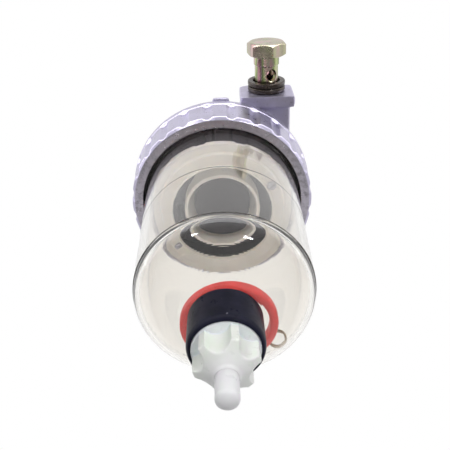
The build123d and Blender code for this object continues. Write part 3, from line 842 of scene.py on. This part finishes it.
class SEPARATOR_OT_bowl(bpy.types.Operator):
    """Build the clear bowl with its neck, the printed level line and the gasket"""

    bl_idname = "separator.bowl"
    bl_label = "Clear bowl"

    def shell(self):
        """Flange, tapered wall, elliptical foot and a neck with a plain bore for the cock's thread, turned
        in one.
        """
        play = 0.02
        mouth_z = SEAT_Z - 4.6
        seat_turn = -degrees(acos((COLLAR_R + 0.6) / DOME_R))
        mouth_turn = -degrees(acos(VALVE_R / DOME_INNER_R))
        shoulder = (0, SHOULDER_Z)
        step = [(BOWL_SHOULDER_R, SHOULDER_Z, 0.25), (DOME_R, SHOULDER_Z, 0.2)]
        section = soften([(BOWL_TOP_R, RING_FACE_Z), *step])[:-1]
        section += arc(shoulder, DOME_R, DOME_HEIGHT, 0, seat_turn, steps=40)
        section += [
            (NECK_R, SEAT_Z),
            (NECK_R, NECK_END_Z),
            (NECK_THREAD_R, NECK_END_Z),
            (NECK_THREAD_R, mouth_z),
            (VALVE_R, mouth_z),
        ]
        section += arc(shoulder, DOME_INNER_R, DOME_INNER_HEIGHT, mouth_turn, 0, steps=40)
        section += [
            (BOWL_BORE_R, RING_FACE_Z),
            (BOWL_BORE_R, FLANGE_TOP_Z),
            (BOWL_FLANGE_R, FLANGE_TOP_Z),
            (BOWL_FLANGE_R, LIP_TOP_Z + play),
            (BOWL_TOP_R, LIP_TOP_Z + play),
        ]
        mesh = turned(refined(section, step=3.0), columns=288)
        piece("bowl_shell", mesh, "clear_plastic", "bowl", "bowl", sharp=28)

    def level_line(self, z, width):
        """A printed line round the front half of the wall."""
        half = width / 2
        share = (RING_FACE_Z - z) / (RING_FACE_Z - SHOULDER_Z)
        wall_r = BOWL_TOP_R - (BOWL_TOP_R - BOWL_SHOULDER_R) * share
        low, high = wall_r + 0.01, wall_r + 0.04
        print_band = [(low, z - half), (high, z - half), (high, z + half), (low, z + half)]
        ring = turned(print_band, columns=288)
        whole = [*ring.verts, *ring.edges, *ring.faces]
        bmesh.ops.bisect_plane(ring, geom=whole, plane_co=(0, 0, 0), plane_no=(0, 1, 0), clear_outer=True)
        bmesh.ops.holes_fill(ring, edges=[edge for edge in ring.edges if edge.is_boundary])
        piece("level_line", ring, "black_plastic", "bowl")

    def gasket(self):
        """A flat rubber ring between the bowl's flange and the head's skirt."""
        inner_r = BOWL_FLANGE_R - 4.6
        section = [
            (inner_r, FLANGE_TOP_Z),
            (BOWL_FLANGE_R, FLANGE_TOP_Z),
            (BOWL_FLANGE_R, SKIRT_END_Z),
            (inner_r, SKIRT_END_Z),
        ]
        mesh = turned(soften(section, 0.4), columns=192)
        piece("gasket_ring", mesh, "black_rubber", "head", "bowl_gasket")

    def execute(self, context):
        sizes = context.scene.separator_sizes
        self.shell()
        self.level_line(sizes.level_line_z, sizes.level_line_width)
        self.gasket()
        return {"FINISHED"}


class SEPARATOR_OT_inner(bpy.types.Operator):
    """Build the outlet tube, the baffle plate with its screws, and the tube's seal"""

    bl_idname = "separator.inner"
    bl_label = "Tube and baffle"

    def tube(self, edge):
        """A bell below a socket that is pushed over the head's boss."""
        bell_r, rim_r, socket_r, bore_r = 18.3, 20.1, 17.46, 15.26
        mouth = 0.6
        socket_z = TUBE_TOP_Z - 11.0
        section = [
            (bell_r, TUBE_RIM_Z, edge),
            (rim_r, TUBE_RIM_Z, edge),
            (rim_r, socket_z - 1.5, 1.5),
            (socket_r, socket_z + 3.0, 1.5),
            (socket_r, TUBE_TOP_Z, edge),
            (bore_r + mouth, TUBE_TOP_Z, 0.1),
            (bore_r, TUBE_TOP_Z - mouth, 0.1),
            (bore_r, socket_z, 0.3),
            (bell_r, socket_z - 3.0, 1.0),
        ]
        mesh = turned(refined(soften(section), step=2.5), columns=240)
        piece("tube_bell", mesh, "cream_nylon", "head", "outlet_tube")

    def baffle(self):
        """A stepped plate with a bead round its hole and notches in its upright wall."""
        outer_r, step_r, hole_r = 37.49, 33.19, 26.3
        slope, plate, wall, bead_wall, inset = 0.4, 1.8, 1.4, 0.7, 1.0
        z, step_z, top_z = BAFFLE_Z, BAFFLE_Z + 2.0, BAFFLE_Z + 6.6
        bead_z = z - BAFFLE_BEAD
        section = [
            (hole_r, bead_z, 0.3),
            (hole_r + bead_wall, bead_z, 0.3),
            (hole_r + bead_wall, z, 0.3),
            (step_r - slope, z, 0.5),
            (step_r, step_z, 0.5),
            (outer_r - slope, step_z, 0.5),
            (outer_r, step_z + slope, 0.3),
            (outer_r, top_z, 0.4),
            (outer_r - wall, top_z, 0.4),
            (outer_r - wall, step_z + plate, 0.4),
            (step_r - inset, step_z + plate, 0.5),
            (step_r - inset - slope, z + plate, 0.5),
            (hole_r, z + plate, 0.4),
        ]
        pitch, notch_half, notch_depth, ramp = tau / 12, 2.5, 2.0, 0.6

        def notched(r, height, angle):
            off = ((angle / pitch) % 1.0 - 0.5) * pitch * r
            reach = notch_half + ramp / 2 - abs(off)
            if height > top_z - notch_depth and r > outer_r - wall - 0.2 and reach > 0:
                return r, height - (height - top_z + notch_depth) * min(1.0, reach / ramp)
            return r, height

        mesh = turned(refined(soften(section), step=1.4), 384, notched)
        piece("baffle_ring", mesh, "cream_nylon", "head", "baffle_plate")

    def screws(self):
        """Two slotted screws, opposite each other, through the plate into the head's pillars."""
        head_r, shank_r, head_height, length = 2.3, 1.48, 1.6, 9.0
        slot_size, slot_lean = (6.0, 0.7, 1.4, 1.0), 1.3
        foot = BAFFLE_Z - head_height
        section = [
            (0, foot),
            (head_r, foot, 0.6),
            (head_r, BAFFLE_Z, 0.1),
            (shank_r, BAFFLE_Z, 0.1),
            (shank_r, BAFFLE_Z + length, 0.3),
            (0, BAFFLE_Z + length),
        ]
        bodies, slots = [], []
        for turn in (-31.0, 149.0):
            spot = Vector((SCREW_CIRCLE_R * cos(radians(turn)), SCREW_CIRCLE_R * sin(radians(turn)), 0))
            body = turned(refined(soften(section), step=0.8), columns=48)
            bmesh.ops.translate(body, verts=body.verts, vec=spot * MM)
            bodies.append(body)
            cutter = bmesh.new()
            bmesh.ops.create_cube(cutter, size=MM)
            spot.z = foot
            place = Matrix.Translation(spot * MM) @ Matrix.Rotation(radians(turn * slot_lean), 4, "Z")
            place @= Matrix.Diagonal(slot_size)
            slots.append(finish_mesh("slot", cutter, finish("bright_steel"), place))
        screws = pierced(finish_mesh("screws", joined(bodies), finish("bright_steel")), slots)
        settle(screws, "head", "bright_steel", "plate_screws")

    def execute(self, context):
        self.tube(context.scene.separator_sizes.moulded_round)
        self.baffle()
        self.screws()
        dress("tube_seal", "black_rubber")
        return {"FINISHED"}


class SEPARATOR_OT_loose(bpy.types.Operator):
    """Build the float ring and the small wire ring"""

    bl_idname = "separator.loose"
    bl_label = "Float and wire ring"

    def float_ring(self):
        """A red ring with rounded edges, leaning in the bowl's foot."""
        half, edge = 2.5, 1.5
        lean_x, lean_y = radians(5.5), radians(-1.5)
        corners = [(FLOAT_BORE_R, -half), (FLOAT_R, -half), (FLOAT_R, half), (FLOAT_BORE_R, half)]
        section = soften(corners, edge, steps=8)
        lean = Matrix.Rotation(lean_x, 4, "X") @ Matrix.Rotation(lean_y, 4, "Y")
        place = Matrix.Translation(middle("float_ring") * MM) @ lean
        mesh = turned(refined(section, step=0.6), columns=288)
        piece("float_body", mesh, "red_plastic", "float", "float_ring", place=place)

    def wire_ring(self, gauge):
        """Two turns of wire, one on the other, that cross over as a key ring's do."""
        start, sweep, count = 40, 640, 150
        cross_from, cross_over = 320, 80
        path = []
        for k in range(count + 1):
            turn = start + sweep * k / count
            rise = min(1.0, max(0.0, (turn - cross_from) / cross_over))
            height = gauge * (2 * rise * rise * (3 - 2 * rise) - 1)
            path.append((WIRE_RING_R * cos(radians(turn)), WIRE_RING_R * sin(radians(turn)), height))
        axis = Vector((-0.19, -0.915, -0.357)).normalized()
        place = Matrix.Translation(middle("wire_ring") * MM) @ facing(axis)
        coil = wire(path, gauge)
        piece("wire_coil", coil, "yellow_wire", "bowl", "wire_ring", slot="yellow_zinc", place=place)

    def execute(self, context):
        self.float_ring()
        self.wire_ring(context.scene.separator_sizes.wire_radius)
        return {"FINISHED"}


class SEPARATOR_OT_drain(bpy.types.Operator):
    """Build the drain collar and the drain cock with its seals"""

    bl_idname = "separator.drain"
    bl_label = "Drain"

    def collar(self):
        """A sleeve round the neck with a rolled lower end."""
        roll = 3.2
        bore_r = NECK_R + 0.05
        section = arc((SINK_R, COLLAR_END_Z + roll), COLLAR_R - SINK_R, roll, -90, 0, steps=12)
        section += soften([(COLLAR_R, SEAT_Z, 0.6), (bore_r, SEAT_Z, 0.2), (bore_r, NECK_END_Z, 0.2)])[1:]
        section += [(SINK_R, NECK_END_Z)]
        mesh = turned(refined(section, step=1.2), columns=240)
        piece("collar_sleeve", mesh, "black_plastic", "bowl", "drain_collar")

    def cock(self, thread_pitch):
        """Spigot, lobed knob, flange, and a threaded stem with a drain channel and a groove for its seal."""
        flange_top, knob_end = COLLAR_END_Z + 3.0, COLLAR_END_Z - 8.8
        cone_end = knob_end - 5.4
        stem_top = SEAT_Z - 5.4
        spigot_r, spigot_round, cone_r = 4.55, 2.6, 5.45
        stem_r, thread_depth, run_in, run_out = 7.94, 0.4, 0.4, 0.8
        channel_half, channel_y = 1.3, 5.34
        nose_r, nose_end, groove_r = 5.2, SEAT_Z - 0.3, 4.12
        groove_low, groove_high = SEAT_Z - 2.45 - 0.98, SEAT_Z - 2.45 + 0.98
        lobe_pitch, scoop_r, scoop_turn, blend = tau / 6, 5.6, radians(-44.5), 0.7

        def knob(r, z, angle):
            if z < COLLAR_END_Z - 0.02:
                hollow = scooped(KNOB_VALLEY_R + scoop_r, scoop_r, lobe_pitch, scoop_turn, angle)
                return smooth_min(r, hollow, blend), z
            if flange_top + run_in < z < stem_top - run_out and r > NECK_THREAD_R - 0.5:
                if abs(r * cos(angle)) < channel_half and sin(angle) > 0:
                    return channel_y / sin(angle), z
                return r - thread_depth * thread_wave(z, angle, thread_pitch), z
            return r, z

        outline = [
            (spigot_r, cone_end - 1.6, 0.4),
            (cone_r, cone_end, 0.5),
            (KNOB_R - 0.6, knob_end - 0.6, 0.5),
            (KNOB_R, knob_end, 0.8),
            (KNOB_R, COLLAR_END_Z, 0.1),
            (FLANGE_R, COLLAR_END_Z, 0.4),
            (FLANGE_R, flange_top, 0.4),
            (stem_r, flange_top, 0.1),
            (stem_r, stem_top, 0.6),
            (nose_r, stem_top, 0.1),
            (nose_r, groove_low, 0.1),
            (groove_r, groove_low, 0.1),
            (groove_r, groove_high, 0.1),
            (nose_r, groove_high, 0.1),
            (nose_r, nose_end, 0.6),
            (0, nose_end),
        ]
        section = arc((0, SPIGOT_END_Z + spigot_round), spigot_r, spigot_round, -90, 0, steps=10)
        section += refined(soften(outline), step=0.5)[:-1]
        piece("cock_body", turned(section, 192, knob), "white_nylon", "cock", "drain_cock")

    def execute(self, context):
        self.collar()
        self.cock(context.scene.separator_sizes.cock_pitch)
        dress("cock_seal", "black_rubber")
        dress("stem_seal", "black_rubber")
        return {"FINISHED"}


class SEPARATOR_OT_ports(bpy.types.Operator):
    """Build the hollow bolts and their washers"""

    bl_idname = "separator.ports"
    bl_label = "Port bolts"

    def cross_hole(self):
        """A cutter for the hole across the waist, wider where it breaks out."""
        hole_r, sink_r, reach = 3.1, 3.75, 9
        half = [(0, reach), (sink_r, reach), (sink_r, 6.6), (hole_r, 5.9)]
        section = [(r, -z) for r, z in half] + half[::-1]
        across = Vector((sin(radians(25)), -cos(radians(25)), 0))
        place = Matrix.Translation((0, 0, (BOLT_FOOT - 10.2) * MM)) @ facing(across)
        return finish_mesh("hole", turned(section, columns=64), finish("yellow_zinc"), place)

    def bolt(self, port, pitch):
        """Hex head, shank, waist and thread over a bore, with the cross hole through the waist."""
        bore_r, thread_r, waist_r, chamfer_r = 4.0, 6.94, 6.45, 9.1
        corner_r = HEX_FLATS / sqrt(3)
        waist_top, bore_end = BOLT_FOOT - 5.4, BOLT_FOOT - 9.2
        thread_end, thread_depth, tip = -0.6, 0.45, 1.0
        corner_turn, side_turn, blend = 45.0, 60.0, 0.35

        def shape(r, z, angle):
            if z > BOLT_FOOT - 0.02 and r > 8.0:
                off = ((degrees(angle) - corner_turn) % side_turn) - side_turn / 2
                flat = HEX_FLATS / 2 / cos(radians(off))
                return smooth_min(r, flat, blend), z
            if BOLT_END + tip < z < thread_end and r > 6.8:
                return r - thread_depth * thread_wave(z, angle, pitch), z
            return r, z

        section = [
            (bore_r, BOLT_END, 0.3),
            (thread_r - tip, BOLT_END, 0.2),
            (thread_r, BOLT_END + tip, 0.2),
            (thread_r, thread_end, 0.2),
            (waist_r, 0.0, 0.2),
            (waist_r, waist_top, 0.2),
            (SHANK_R, waist_top + 0.6, 0.3),
            (SHANK_R, BOLT_FOOT, 0.1),
            (chamfer_r, BOLT_FOOT, 0.3),
            (corner_r, BOLT_FOOT + 0.9, 0.3),
            (corner_r, BOLT_TOP - 1.3, 0.4),
            (chamfer_r, BOLT_TOP, 0.4),
            (0, BOLT_TOP),
            (0, bore_end),
            (bore_r, bore_end, 0.3),
        ]
        mesh = turned(refined(soften(section), step=0.45, guard=0.1), 168, shape)
        bolt = finish_mesh(port + "_bolt_body", mesh, finish("yellow_zinc"))
        pierced(bolt, [self.cross_hole()])
        bolt.data.transform(port_place(port))
        settle(bolt, port + "_bolt", "yellow_zinc", port + "_bolt")

    def washer(self, port, name, foot):
        """A rounded washer lying foot above the pad, with a waist beside its neighbour."""
        top = foot + WASHER_THICKNESS
        waist_r, waist_top = WASHER_R - 1.2, foot + 0.75
        section = [
            (WASHER_BORE_R, foot, 0.3),
            (waist_r, foot, 0.1),
            (waist_r, waist_top, 0.1),
            (WASHER_R, waist_top, 0.3),
            (WASHER_R, top, 0.7),
            (WASHER_BORE_R, top, 0.5),
        ]
        mesh = turned(refined(soften(section, steps=6), step=0.5, guard=0.1), columns=144)
        name, place = port + name, port_place(port)
        piece(name + "_ring", mesh, "washer_metal", port + "_washers", name + "_washer", place=place)

    def execute(self, context):
        pitch = context.scene.separator_sizes.bolt_pitch
        for port in ("inlet", "outlet"):
            self.bolt(port, pitch)
            self.washer(port, "_inner", 0.0)
            self.washer(port, "_outer", WASHER_THICKNESS)
        return {"FINISHED"}


def lamp(name, strength, size, spot, aim):
    """A rectangular soft box of (width, height) at a spot, aimed at a point, not seen through the bowl."""
    data = bpy.data.lights.new(name, "AREA")
    data.shape = "RECTANGLE"
    data.energy = strength
    data.size, data.size_y = size
    obj = bpy.data.objects.new(name, data)
    obj.location = spot
    obj.rotation_euler = (Vector(aim) - Vector(spot)).to_track_quat("-Z", "Y").to_euler()
    obj.visible_transmission = False
    bpy.context.scene.collection.objects.link(obj)
    return obj


class SEPARATOR_OT_stage(bpy.types.Operator):
    """Set up the floor, the lamps, the world and the camera"""

    bl_idname = "separator.stage"
    bl_label = "Stage"

    def floor(self, colour):
        """Pale paper that shows as plain white through the bowl."""
        mesh = bmesh.new()
        bmesh.ops.create_grid(mesh, x_segments=2, y_segments=2, size=4.0)
        bmesh.ops.translate(mesh, verts=mesh.verts, vec=(0, 0, FLOOR_Z))
        pale = Finish("floor_paper", colour, 0.8)
        pale.colour(pale.mix(pale.noise(60.0, 2.0), colour, scaled(colour, 0.97)))
        surface = pale.shader.outputs[0]
        pale.white_to(["Is Transmission Ray"], surface, "ShaderNodeEmission", "Material Output")
        finish_mesh("floor", mesh, pale.material)

    def world(self, scene, strength):
        """Even light, shown as plain white behind the object and in its reflections."""
        world = bpy.data.worlds.new("studio")
        world.use_nodes = True
        scene.world = world
        sky = Nodes(world.node_tree)
        soft = sky.tree.nodes["Background"]
        sky.feed(soft.inputs["Color"], (*WHITE, 1.0))
        sky.feed(soft.inputs["Strength"], strength)
        rays = ("Is Camera Ray", "Is Glossy Ray", "Is Transmission Ray")
        sky.white_to(rays, soft.outputs[0], "ShaderNodeBackground", "World Output")

    def lamps(self, stage):
        """Three rim lamps for the shine alone, and two small ones with a narrow beam."""
        aim, low_aim = (0, 0, -0.1), (0, 0, -0.14)
        rim, left_share, right_share = stage.rim_power, 0.4, 0.3
        rims = (
            lamp("rim", rim, (1.5, 0.36), (0.0, -0.86, 0.16), aim),
            lamp("rim_left", rim * left_share, (0.9, 0.5), (-0.84, -0.40, 0.18), aim),
            lamp("rim_right", rim * right_share, (0.7, 0.4), (0.86, -0.40, 0.12), aim),
        )
        for shine in rims:
            shine.visible_diffuse = False
        beams = (
            lamp("key", stage.key_power, (0.10, 0.06), (-0.42, -0.75, -0.38), low_aim),
            lamp("front", stage.fill_power, (0.14, 0.07), (0.37, -0.69, -0.56), low_aim),
        )
        for beam in beams:
            beam.data.spread = radians(60)

    def camera(self, scene, lens):
        """The photograph's camera, looking up at the object from below."""
        data = bpy.data.cameras.new("camera")
        data.lens = lens
        data.clip_start = 0.01
        elevation, roll = radians(CAMERA_ELEVATION), radians(CAMERA_ROLL)
        back = Vector((0, -cos(elevation), sin(elevation)))
        right = Vector((1, 0, 0))
        up = back.cross(right)
        axes = (right * cos(roll) + up * sin(roll), up * cos(roll) - right * sin(roll), back)
        camera = bpy.data.objects.new("camera", data)
        camera.matrix_world = Matrix.Translation(CAMERA_PLACE) @ Matrix(axes).transposed().to_4x4()
        scene.collection.objects.link(camera)
        scene.camera = camera

    def execute(self, context):
        scene = context.scene
        stage = scene.separator_stage
        scene.view_settings.view_transform = "Standard"
        self.floor(stage.floor)
        self.world(scene, stage.world)
        self.lamps(stage)
        self.camera(scene, stage.lens)
        return {"FINISHED"}


PIECES = (
    SEPARATOR_OT_ring_nut,
    SEPARATOR_OT_head,
    SEPARATOR_OT_bowl,
    SEPARATOR_OT_inner,
    SEPARATOR_OT_loose,
    SEPARATOR_OT_drain,
    SEPARATOR_OT_ports,
    SEPARATOR_OT_stage,
)


class SEPARATOR_PT_panel(bpy.types.Panel):
    """Lists the separator's sizes, colours and pieces"""

    bl_idname = "SEPARATOR_PT_panel"
    bl_label = "Fuel water separator"
    bl_space_type = "VIEW_3D"
    bl_region_type = "UI"
    bl_category = "Separator"

    def draw(self, context):
        scene = context.scene
        for name, settings in SETTINGS.items():
            box = self.layout.box()
            for size in settings.__annotations__:
                box.prop(getattr(scene, name), size)
        for piece in PIECES:
            self.layout.operator(piece.bl_idname)


SETTINGS = {
    "separator_sizes": SeparatorSizes,
    "separator_colours": SeparatorColours,
    "separator_stage": SeparatorStage,
}


def register():
    for name, settings in SETTINGS.items():
        bpy.utils.register_class(settings)
        setattr(bpy.types.Scene, name, PointerProperty(type=settings))
    for piece in (*PIECES, SEPARATOR_PT_panel):
        bpy.utils.register_class(piece)


def unregister():
    for piece in (SEPARATOR_PT_panel, *reversed(PIECES)):
        bpy.utils.unregister_class(piece)
    for name, settings in SETTINGS.items():
        delattr(bpy.types.Scene, name)
        bpy.utils.unregister_class(settings)


def main():
    register()
    bpy.ops.separator.ring_nut()
    bpy.ops.separator.head()
    bpy.ops.separator.bowl()
    bpy.ops.separator.inner()
    bpy.ops.separator.loose()
    bpy.ops.separator.drain()
    bpy.ops.separator.ports()
    bpy.ops.separator.stage()


if __name__ == "__main__":
    main()
